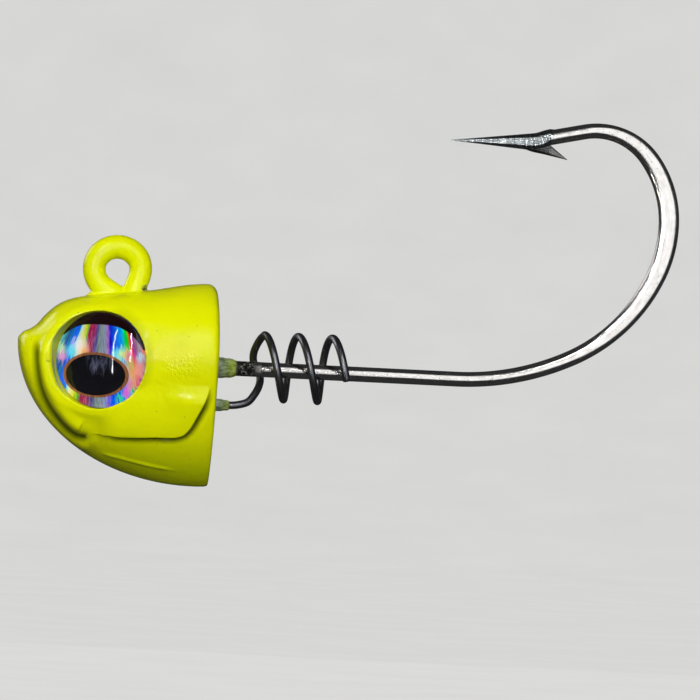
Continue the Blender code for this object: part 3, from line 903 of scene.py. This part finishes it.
def powder_coat():
    """Gloss chartreuse powder coat: orange peel, two bare chips, dry overspray on the wire stubs, and painted
    shade in its grooves and towards its keel.
    """
    look = Finish("chartreuse_powder_coat", IOR=1.45, Specular_IOR_Level=0.35)
    place = look.place()
    x, y, z = look.split(place)

    paint = look.mix(look.noise(place, 0.35, 2.0), (0.72, 0.78, 0.0), (0.80, 0.84, 0.0))
    # the face's grooves and undercut are darkened by their depth: painted shade
    painted_crease_shade = look.ramp(look.attribute("relief").outputs["Fac"], -0.04, -0.32)
    paint = look.mix(painted_crease_shade, paint, (0.12, 0.155, 0.0))
    # darker and greener towards the keel: painted shade on the underside
    paint = look.mix(look.ramp(z, *KEEL_SHADE_Z, 0.0, 0.6), paint, (0.40, 0.50, 0.0))
    specks = look.ramp(look.cells(place, 0.9), 0.075, 0.05)
    paint = look.mix(look.times(specks, 0.55), paint, (0.16, 0.18, 0.02))

    grain = look.noise(place, 6.0, 3.0, 0.6)
    dry = look.ramp(look.plus(x, look.times(grain, 0.5)), REAR_X + 0.2, REAR_X + 0.7)
    fuzz = look.noise(look.stretched((x, 1.2), (y, 5.0), (z, 5.0)), 1.0, 3.0, 0.65)
    green = look.ramp(look.plus(x, look.times(grain, 1.5)), *POWDER_TURNS_DUSTY)
    powder = look.mix(green, look.colours(fuzz, DUSTY_POWDER), look.colours(fuzz, GREEN_POWDER))
    paint = look.mix(dry, paint, powder)

    chips = look.math("MAXIMUM", *(look.ball(place, centre, radius) for centre, radius in CHIPS))
    chips = look.times(chips, look.ramp(look.noise(place, 3.2, 3.0, 0.6), 0.42, 0.5))
    look.set("Base Color", look.mix(chips, paint, (0.36, 0.37, 0.37)))
    look.set("Metallic", chips)

    cheek = look.ball(look.joined(x, 0.0, z), ROUGH_CHEEK, ROUGH_CHEEK_RADIUS, 0.5)
    gloss = look.ramp(look.noise(place, 1.1, 3.0), 0.3, 0.7, 0.13, 0.17)
    gloss = look.plus(gloss, look.times(dry, 0.5))
    look.set("Roughness", look.minus(gloss, look.times(cheek, 0.07)))

    surface = look.bump(look.noise(place, 0.9, 1.5), 0.05)
    surface = look.bump(look.noise(place, 2.6, 2.0), 0.02, below=surface)
    surface = look.bump(look.times(look.noise(place, 3.2, 2.0), cheek), 0.11, below=surface)
    rough = look.times(look.noise(place, 9.0, 3.0, 0.7), dry)
    look.set("Normal", look.bump(rough, 0.18, below=surface))
    return look.material


FILED_STEEL = ((0.35, (0.07, 0.08, 0.09)), (0.5, (0.27, 0.30, 0.31)), (0.65, (0.70, 0.72, 0.72)))
# a dark burnt crust; its white specks are painted glints
BURNT_CRUST_AND_GLINTS = ((0.42, (0.01, 0.01, 0.01)), (0.56, (0.09, 0.09, 0.09)), (0.64, (0.8, 0.8, 0.75)))
GROUND_BEFORE_X, GROUND_ABOVE_Z = 44.6, 8.0
BURNT_FROM_X, BURNT_TO_X = (12.5, 13.1), (15.9, 14.6)


def hook_steel():
    """Black-nickel forged wire: drawn lines, pits, a ground point, a barb painted nearly black as painted
    shade, and a burnt stretch behind the head with painted glints.
    """
    look = Finish("black_nickel_steel", Metallic=1.0)
    place = look.place()
    x, _, z = look.split(place)
    along, around, on_barb = look.split(look.attribute("wire").outputs["Vector"])
    lines = look.noise(look.stretched((along, 0.35), (around, 60.0)), 1.0, 3.0, 0.65)
    tone = look.noise(place, 1.2, 3.0)
    steel = look.mix(lines, (0.52, 0.50, 0.48), (0.92, 0.91, 0.90))
    steel = look.mix(look.ramp(tone, 0.45, 0.75, 0.0, 0.5), steel, (0.50, 0.46, 0.42))
    pits = look.ramp(look.cells(place, 2.6), 0.16, 0.08)
    steel = look.mix(pits, steel, (0.03, 0.03, 0.03))

    before_barb = look.math("LESS_THAN", x, GROUND_BEFORE_X)
    ground = look.times(before_barb, look.math("GREATER_THAN", z, GROUND_ABOVE_Z))
    files = look.noise(look.stretched((along, 12.0), (around, 2.0)), 1.0, 3.0, 0.7)
    steel = look.mix(ground, steel, look.colours(files, FILED_STEEL))
    # the barb is darkened nearly to black: painted shade
    steel = look.mix(look.times(on_barb, 0.85), steel, (0.05, 0.05, 0.05))

    grit = look.noise(place, 4.5, 3.0, 0.7)
    burnt = look.times(look.ramp(x, *BURNT_FROM_X), look.ramp(x, *BURNT_TO_X))
    # the burnt stretch: dark crust with painted glints
    look.set("Base Color", look.mix(burnt, steel, look.colours(grit, BURNT_CRUST_AND_GLINTS)))

    roughness = look.ramp(lines, 0.3, 0.7, 0.10, 0.2)
    for mask, extra in ((pits, 0.35), (burnt, 0.35), (ground, 0.12)):
        roughness = look.plus(roughness, look.times(mask, extra))
    look.set("Roughness", roughness)
    surface = look.bump(lines, 0.006)
    surface = look.bump(look.times(files, ground), 0.03, below=surface)
    look.set("Normal", look.bump(look.times(grit, burnt), 0.25, below=surface))
    return look.material


def keeper_steel():
    """Dark drawn spring wire, satin, with lines along it."""
    look = Finish("spring_steel", Metallic=1.0)
    along, around, _ = look.split(look.attribute("wire").outputs["Vector"])
    lines = look.noise(look.stretched((along, 0.5), (around, 30.0)), 1.0, 3.0, 0.6)
    stains = look.noise(look.place(), 1.5, 2.0)
    steel = look.mix(lines, (0.10, 0.11, 0.14), (0.34, 0.35, 0.39))
    look.set("Base Color", look.mix(look.ramp(stains, 0.4, 0.7, 0.0, 0.6), steel, (0.24, 0.21, 0.19)))
    look.set("Roughness", look.ramp(lines, 0.3, 0.7, 0.28, 0.45))
    look.set("Normal", look.bump(lines, 0.01))
    return look.material


FOIL_BANDS = (  # from the nose side to the rear: (share of the width, colour)
    (0.00, (0.30, 0.22, 0.32)), (0.06, (0.25, 0.55, 0.50)), (0.117, (0.05, 0.22, 0.25)),
    (0.15, (0.10, 0.12, 0.40)), (0.18, (0.02, 0.20, 0.30)), (0.205, (0.0, 0.08, 0.75)),
    (0.25, (0.0, 0.15, 0.80)), (0.265, (0.35, 0.65, 0.65)), (0.30, (0.80, 0.75, 0.35)),
    (0.33, (0.55, 0.60, 0.12)), (0.35, (0.12, 0.35, 0.08)), (0.365, (0.35, 0.08, 0.12)),
    (0.42, (0.28, 0.08, 0.14)), (0.445, (0.10, 0.09, 0.25)), (0.47, (0.18, 0.22, 0.20)),
    (0.53, (0.26, 0.30, 0.38)), (0.555, (0.40, 0.22, 0.45)), (0.58, (0.10, 0.10, 0.50)),
    (0.64, (0.0, 0.10, 0.75)), (0.69, (0.0, 0.30, 0.85)), (0.715, (0.0, 0.55, 0.55)),
    (0.73, (0.0, 0.60, 0.02)), (0.755, (0.0, 0.50, 0.02)), (0.768, (0.75, 0.18, 0.05)),
    (0.785, (0.35, 0.08, 0.22)), (0.83, (0.25, 0.15, 0.25)), (0.86, (0.30, 0.22, 0.25)),
    (0.89, (0.75, 0.25, 0.12)), (0.94, (0.70, 0.15, 0.12)), (0.97, (0.60, 0.05, 0.35)),
    (1.00, (0.25, 0.50, 0.55)),
)
FOIL_GLINT_SPOTS = (  # bright spots painted into the film as glints: (place on the film in mm, radius, colour)
    ((-2.3, 1.2), 1.15, (1.0, 1.0, 0.96)), ((-3.1, 0.7), 0.9, (0.15, 0.85, 0.95)),
    ((-1.75, 0.75), 0.8, (1.0, 0.45, 0.15)), ((-4.2, 0.2), 0.8, (0.9, 0.35, 0.65)),
    ((-4.3, 1.0), 0.6, (0.7, 1.0, 0.5)), ((1.8, 0.55), 0.9, (0.25, 1.0, 0.95)),
    ((2.35, 0.6), 0.8, (0.75, 1.0, 0.05)), ((2.9, 0.55), 0.8, (1.0, 0.12, 0.45)),
    ((3.5, -0.9), 1.5, (1.0, 0.32, 0.16)), ((3.3, -2.3), 1.0, (0.95, 0.20, 0.30)),
    ((1.2, -4.1), 0.8, (0.0, 0.12, 0.9)), ((2.1, -3.7), 0.6, (0.05, 0.75, 0.1)),
    ((2.8, -3.2), 0.6, (0.85, 0.1, 0.5)), ((4.1, 0.4), 0.6, (0.50, 0.65, 0.75)),
)
BAND_REACH = 4.6
FAN_CENTRE_V, FAN_SPREAD = 3.2, 0.11
PUPIL_CENTRE, PUPIL_RADII = (-0.52, -1.52), (3.14, 2.0)
PUPIL_REFLECTION_CENTRE, PUPIL_REFLECTION_RADIUS = (-0.1, 0.0, 0.0), 1.5
LID_CENTRE_U, LID_V, LID_CURVE = -0.4, 3.45, 0.021


def rainbow(look, u, v):
    """The film's bands with their painted glint spots, its fine threads, and its places made ragged by the
    threads.
    """
    fan = look.plus(1.0, look.times(look.minus(FAN_CENTRE_V, v), FAN_SPREAD))
    waver = look.noise(look.stretched((u, 0.7), (v, 0.25)), 1.0, 2.0)
    band = look.plus(look.math("DIVIDE", u, fan), look.times(look.minus(waver, 0.5), 0.45))
    bands = look.colours(look.ramp(band, -BAND_REACH, BAND_REACH), FOIL_BANDS)
    threads = look.noise(look.stretched((band, 9.0), (v, 0.9)), 1.0, 2.0)
    bands = look.mix(look.ramp(threads, 0.45, 0.75, 0.0, 0.15), bands, (0.75, 0.80, 0.85))
    bands = look.mix(look.ramp(threads, 0.5, 0.3, 0.0, 0.45), bands, (0.02, 0.02, 0.06))
    bands = look.vivid(bands, 1.35, 1.1)
    ragged = look.joined(u, look.plus(v, look.times(look.minus(threads, 0.5), 2.6)), 0.0)
    # spots of painted glint on the film
    for centre, radius, colour in FOIL_GLINT_SPOTS:
        bands = look.mix(look.ball(ragged, (*centre, 0.0), radius, 0.1), bands, colour)
    return bands, threads, ragged


def holographic_foil(flank, nose_sign):
    """Metallised film in rainbow bands, with a printed pupil, its ring and a dark lid, a painted reflection
    in the pupil, and a faint glow of painted light.
    """
    look = Finish(f"holographic_foil_{flank}", Specular_IOR_Level=0.2)
    u_raw, v, _ = look.split(look.attribute("local").outputs["Vector"])
    u = look.times(u_raw, nose_sign)
    bands, threads, ragged = rainbow(look, u, v)

    parts = [look.math("DIVIDE", look.minus(a, c), r) for a, c, r in zip((u, v), PUPIL_CENTRE, PUPIL_RADII)]
    pupil = look.math("SQRT", look.plus(*(look.times(part, part) for part in parts)))
    copper = look.mix(look.ramp(threads, 0.35, 0.65), (0.17, 0.055, 0.015), (0.34, 0.13, 0.045))
    film = look.mix(look.ramp(pupil, 1.12, 1.10), bands, copper)
    # a soft bluish-grey streak in the pupil: painted reflection
    pupil_reflection = look.noise(look.stretched((u, 2.2), (v, 0.6), depth=3.0), 1.0, 3.0, 0.6)
    pupil_reflection = look.times(look.ramp(pupil_reflection, 0.42, 0.72), look.ball(ragged, PUPIL_REFLECTION_CENTRE, PUPIL_REFLECTION_RADIUS))
    inside = look.ramp(pupil, 1.005, 0.985)
    film = look.mix(inside, film, look.mix(pupil_reflection, (0.003, 0.003, 0.005), (0.10, 0.11, 0.17)))
    lid_u = look.math("ABSOLUTE", look.minus(u, LID_CENTRE_U))
    lid_drop = look.times(look.math("POWER", lid_u, 3.0), LID_CURVE)
    lid = look.ramp(look.plus(look.minus(v, LID_V), lid_drop), -0.03, 0.03)
    film = look.mix(lid, film, (0.008, 0.001, 0.0015))
    look.set("Base Color", film)
    # the film glows: painted light in place of the lamplight the dome holds back
    look.set("Emission Color", film)
    look.set("Emission Strength", 0.8)
    inked = look.math("MAXIMUM", inside, lid)
    look.set("Metallic", look.ramp(inked, 0.0, 1.0, 0.3, 0.0))
    look.set("Roughness", look.ramp(inked, 0.0, 1.0, 0.32, 0.2))
    look.set("Normal", look.bump(threads, 0.01))
    return look.material


def clear_epoxy():
    """Clear poured resin, with the faintest waviness."""
    look = Finish("clear_epoxy", IOR=1.5, Roughness=0.015, Transmission_Weight=1.0)
    place = look.place()
    look.set("Base Color", look.mix(look.noise(place, 0.6), (0.95, 0.97, 1.0), (1.0, 1.0, 1.0)))
    look.set("Normal", look.bump(look.noise(place, 0.5, 1.0), 0.02))
    return look.material


def cast_lead():
    """Dull as-cast lead."""
    look = Finish("cast_lead", Metallic=1.0)
    grain = look.noise(look.place(), 1.4, 4.0, 0.6)
    look.set("Base Color", look.mix(grain, (0.22, 0.23, 0.25), (0.42, 0.43, 0.45)))
    look.set("Roughness", look.ramp(grain, 0.3, 0.7, 0.45, 0.7))
    look.set("Normal", look.bump(grain, 0.05))
    return look.material


def adhesive_foam():
    """White closed-cell foam tape."""
    look = Finish("adhesive_foam")
    pores = look.cells(look.place(), 3.0)
    look.set("Base Color", look.mix(pores, (0.62, 0.62, 0.58), (0.85, 0.85, 0.82)))
    look.set("Roughness", look.ramp(pores, 0.0, 0.6, 0.9, 0.7))
    look.set("Normal", look.bump(pores, 0.08))
    return look.material


def studio_paper():
    """A plain pale sheet, mostly self-lit so that the lamps leave no pools on it."""
    look = Finish("studio_paper", Roughness=0.75)
    fibres = look.noise(look.place(), 0.05, 3.0)
    look.set("Base Color", look.mix(fibres, (0.02, 0.02, 0.02), (0.03, 0.03, 0.03)))
    look.set("Emission Color", look.mix(fibres, (0.70, 0.70, 0.69), (0.76, 0.76, 0.75)))
    look.set("Emission Strength", 0.92)
    return look.material


def dress(obj, material):
    obj.data.materials.clear()
    obj.data.materials.append(material)


# ================ studio


FLOOR_Z = -60.0
FLOOR_RADIUS, FLOOR_BEND, WALL_HEIGHT = 1100.0, 500.0, 2500.0
VIEW_AZIMUTH = -5.5
VIEW_ROLL = 2.8
VIEW_CENTRE = (24.56, -7.28)
VIEW_WIDTH = 72.8
CAMERA_DISTANCE = 900.0
LED_COUNT = 18
LED_SIZE = 7.0
LED_DISTANCE = 400.0
LED_TARGET = (2.0, 0.0, -9.0)
SKY, SKY_STRENGTH = (0.95, 0.97, 1.0, 1.0), 0.035


def make_floor():
    """A pale round sheet that sweeps up all round the object, unseen by reflections."""
    profile = [(FLOOR_RADIUS * i / 8, FLOOR_Z) for i in range(9)]
    for degrees in range(6, 91, 6):
        turn = math.radians(degrees)
        rise = FLOOR_BEND * (1 - math.cos(turn))
        profile.append((FLOOR_RADIUS + FLOOR_BEND * math.sin(turn), FLOOR_Z + rise))
    profile.append((FLOOR_RADIUS + FLOOR_BEND, FLOOR_Z + WALL_HEIGHT))
    floor = turned("studio_floor", profile, 96)
    dress(floor, studio_paper())
    floor.visible_diffuse = floor.visible_glossy = floor.visible_transmission = False


def softbox(name, place, target, width, height, power, glossy=True):
    """A rectangular light at a place in mm, facing a target."""
    light = bpy.data.lights.new(name, "AREA")
    light.shape = "RECTANGLE"
    light.size, light.size_y = width * MM, height * MM
    light.energy = power
    obj = bpy.data.objects.new(name, light)
    obj.location = Vector(place) * MM
    aim = Vector(target) * MM - obj.location
    obj.rotation_euler = aim.to_track_quat("-Z", "Y").to_euler()
    obj.visible_camera = False
    obj.visible_glossy = glossy
    obj.visible_transmission = False
    bpy.context.scene.collection.objects.link(obj)


def light_at(name, azimuth, elevation, width, height, power):
    """A light on a sphere round the head, facing it."""
    middle = Vector(LED_TARGET)
    turn, rise = math.radians(azimuth), math.radians(elevation)
    out = Vector((math.sin(turn) * math.cos(rise), -math.cos(turn) * math.cos(rise), math.sin(rise)))
    softbox(name, middle + out * LED_DISTANCE, middle, width, height, power)


def led_column(azimuth, low, high, power):
    """An upright column of small lights between two elevations in degrees."""
    for i in range(LED_COUNT):
        elevation = low + (high - low) * i / (LED_COUNT - 1)
        light_at(f"led_{i}", azimuth, elevation, LED_SIZE, LED_SIZE, power)


def make_lights():
    """Soft lights in front and behind, a tall window for the bend, and thin lights that glint in the dome."""
    middle = (20, 0, -8)
    softbox("front", (-80, -465, 272), middle, 420, 420, 1.45, glossy=False)
    softbox("window", (150, -400, 160), (150, 0, 160), 200, 600, 0.50)
    softbox("back_window", (-390, 280, 190), middle, 300, 300, 0.6)
    softbox("back_fill", (60, 560, 60), middle, 500, 400, 1.0, glossy=False)
    light_at("line", 0, 18, 4, 280, 0.30)
    led_column(-23.5, -16, 40, 0.032)
    world = bpy.data.worlds.new("studio")
    world.use_nodes = True
    background = world.node_tree.nodes["Background"]
    background.inputs["Color"].default_value = SKY
    background.inputs["Strength"].default_value = SKY_STRENGTH
    bpy.context.scene.world = world
    bpy.context.scene.view_settings.view_transform = "Standard"


def make_camera():
    """A long lens turned and rolled as the photo's, far enough off to see nearly in parallel."""
    azimuth, roll = math.radians(VIEW_AZIMUTH), math.radians(VIEW_ROLL)
    back = Vector((math.sin(azimuth), -math.cos(azimuth), 0))
    level = Vector((math.cos(azimuth), math.sin(azimuth), 0))
    up = Vector((0, 0, 1))
    right = level * math.cos(roll) + up * math.sin(roll)
    top = up * math.cos(roll) - level * math.sin(roll)
    target = Vector((VIEW_CENTRE[0] / math.cos(azimuth), 0, VIEW_CENTRE[1]))
    camera = bpy.data.cameras.new("camera")
    camera.lens = camera.sensor_width * CAMERA_DISTANCE / VIEW_WIDTH
    camera.clip_start, camera.clip_end = 0.01, 20.0
    obj = bpy.data.objects.new("camera", camera)
    turn = Matrix((right, top, back)).transposed().to_4x4()
    obj.matrix_world = Matrix.Translation((target + back * CAMERA_DISTANCE) * MM) @ turn
    bpy.context.scene.collection.objects.link(obj)
    bpy.context.scene.camera = obj


# ================ the whole object


def carry(obj, node, material):
    """Gives a new piece its finish and puts it in place of a CAD node."""
    dress(obj, material)
    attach(obj, "root")
    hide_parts(node)


def main():
    carry(make_paint_coat(), "paint_coat", powder_coat())
    carry(make_hook(), "hook", hook_steel())
    carry(make_keeper(), "keeper", keeper_steel())
    epoxy = clear_epoxy()
    foam = adhesive_foam()
    for side, flank in ((-1, "left"), (1, "right")):
        film = holographic_foil(flank, -side)
        carry(make_foil(side, flank), f"eye_foil_{flank}", film)
        carry(make_dome(side, flank), f"eye_dome_{flank}", epoxy)
        dress(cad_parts[f"eye_adhesive_{flank}"], foam)
    dress(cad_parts["head_casting"], cast_lead())
    make_floor()
    make_lights()
    make_camera()


main()
